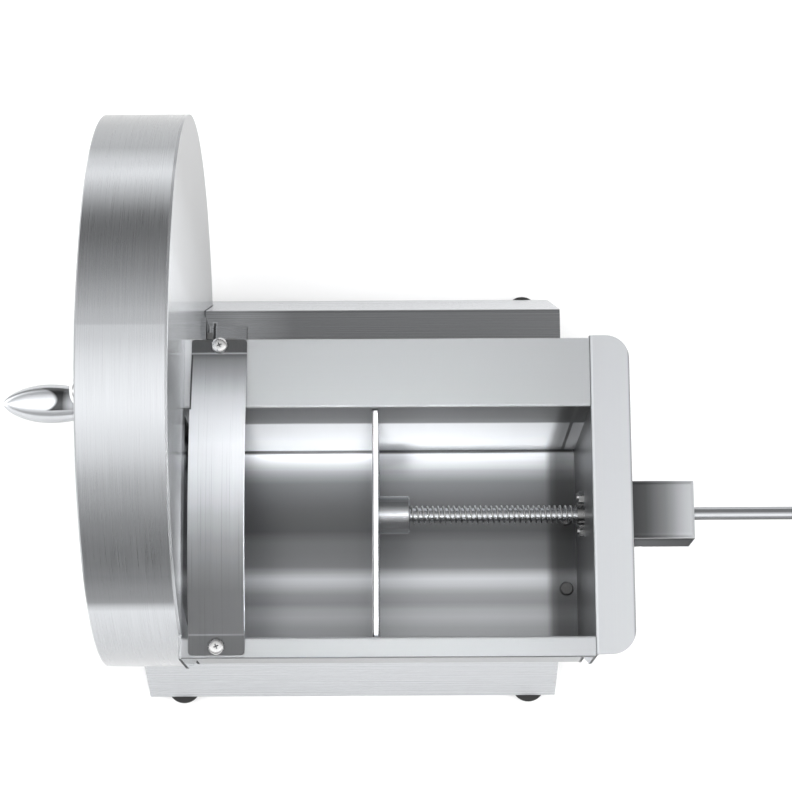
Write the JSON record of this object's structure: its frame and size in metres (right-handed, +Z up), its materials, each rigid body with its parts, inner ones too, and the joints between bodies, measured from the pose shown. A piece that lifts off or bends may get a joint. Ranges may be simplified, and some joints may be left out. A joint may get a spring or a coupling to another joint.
{
  "type": "hand crank vegetable slicer",
  "caption": "Hand cranked drum slicer with a feed chute, a sprung pusher on a rod, a finger guard and a sheet steel stand on rubber feet.",
  "frame": {"origin": "on the table, under the middle of the machine's bounding box", "axes": "+X along the crank axis from the crank to the pusher knob, +Y to the rear, +Z up"},
  "size_m": [0.5152, 0.307, 0.342],
  "materials": {
    "brushed_sheet": "satin",
    "polished_sheet": "polished",
    "turned_steel": "polished",
    "blade_steel": "polished",
    "fastener_steel": "polished",
    "spring_wire": "satin",
    "chrome_grip": "polished",
    "cast_housing": "satin",
    "bronze_bush": "satin",
    "foot_rubber": "matte"
  },
  "bodies": {
    "frame": {"stand": "brushed_sheet", "foot_front_left": "foot_rubber", "foot_front_right": "foot_rubber", "foot_rear_left": "foot_rubber", "foot_rear_right": "foot_rubber", "foot_screws": "fastener_steel", "back_plate": "polished_sheet", "drum_cover": "brushed_sheet", "cover_clips": "brushed_sheet", "cover_screws": "fastener_steel", "plate_angle": "brushed_sheet", "angle_screws": "fastener_steel", "bearing_housing": "cast_housing", "housing_screws": "fastener_steel", "disc_side_bush": "bronze_bush", "collar_side_bush": "bronze_bush", "feed_chute": "polished_sheet", "chute_screws": "fastener_steel", "chute_nuts": "fastener_steel", "end_plate": "brushed_sheet", "guard_strap": "brushed_sheet", "guard_screws": "fastener_steel", "guard_nuts": "fastener_steel", "guide_bracket": "brushed_sheet", "bracket_screws": "fastener_steel", "bracket_nuts": "fastener_steel", "plate_bush": "bronze_bush", "bracket_bush": "bronze_bush", "pusher_spring": "spring_wire"},
    "rotor": {"main_shaft": "turned_steel", "shaft_collar": "turned_steel", "disc_hub": "turned_steel", "hub_pin": "fastener_steel", "blade_disc": "brushed_sheet", "blade_1": "blade_steel", "blade_2": "blade_steel", "blade_3": "blade_steel", "blade_screws": "fastener_steel", "blade_nuts": "fastener_steel", "disc_screws": "fastener_steel", "crank_arm": "turned_steel", "crank_washer": "turned_steel", "crank_nut": "turned_steel", "grip_pin": "turned_steel"},
    "grip": {"crank_grip": "chrome_grip"},
    "pusher": {"pusher_plate": "brushed_sheet", "plate_screw": "fastener_steel", "pusher_hub": "turned_steel", "hub_set_screw": "fastener_steel", "pusher_rod": "turned_steel", "rod_knob": "chrome_grip"}
  },
  "joints": [
    {"name": "crank_spin", "type": "hinge", "parent": "frame", "child": "rotor", "pos_m": [-0.13625, 0.0025, 0.191], "axis": [1, 0, 0], "continuous": true},
    {"name": "grip_spin", "type": "hinge", "parent": "rotor", "child": "grip", "pos_m": [-0.22555, 0.01642, 0.09197], "axis": [1, 0, 0], "continuous": true},
    {"name": "pusher_slide", "type": "slide", "parent": "frame", "child": "pusher", "axis": [1, 0, 0], "range_m": [-0.095, 0.05], "stiffness_N_per_m": 120, "springref_m": -0.095, "deforming": ["pusher_spring"]}
  ]
}
